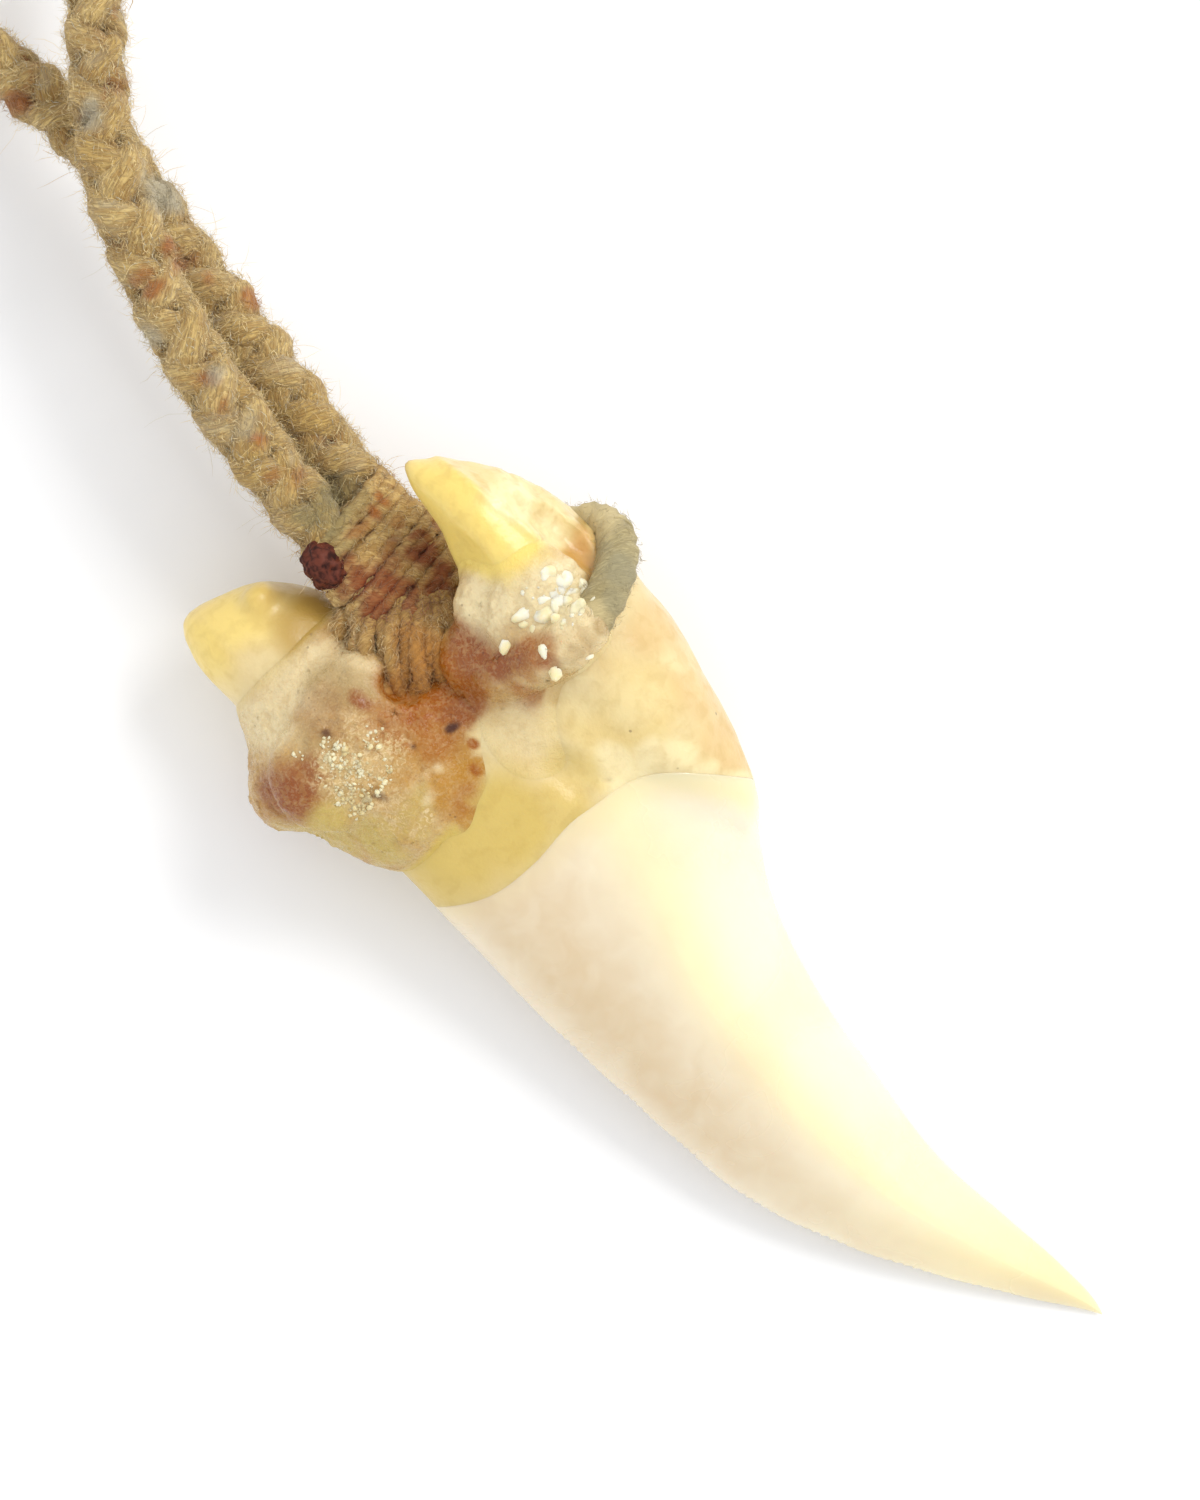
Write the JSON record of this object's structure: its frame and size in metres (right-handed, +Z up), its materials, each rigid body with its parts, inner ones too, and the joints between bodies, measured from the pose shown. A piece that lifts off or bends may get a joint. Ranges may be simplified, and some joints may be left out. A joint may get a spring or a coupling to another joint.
{
  "type": "fang necklace",
  "caption": "Curved ivory fang with a yellow two-lobed root, tied and glued to a closed loop of braided tan plant-fibre neck cord, lying flat.",
  "frame": {"origin": "middle of the whole lying necklace, on the floor plane under it", "axes": "+Z up from the floor, +Y along the necklace from the fang's point to the back of the neck, +X across the loop"},
  "size_m": [0.1795, 0.2864, 0.0145],
  "materials": {
    "enamel": "ivory enamel on a yellow bone root, satin gloss",
    "tie_cord": "grey-beige twisted fibre cord, waxed and stained",
    "resin": "cloudy amber resin with red-brown stains and bubbles",
    "thread": "fine wound thread, tan with red-brown stains",
    "lacquer": "dark red dried lacquer",
    "neck_cord": "braided tan plant fibre with loose hairs"
  },
  "bodies": {
    "root": {"fang": "enamel", "lobe_tie_left": "tie_cord", "lobe_tie_right": "tie_cord", "glue_left": "resin", "glue_right": "resin", "binding": "thread", "lacquer_drop": "lacquer", "cord_right": "neck_cord", "cord_left": "neck_cord"}
  },
  "joints": []
}
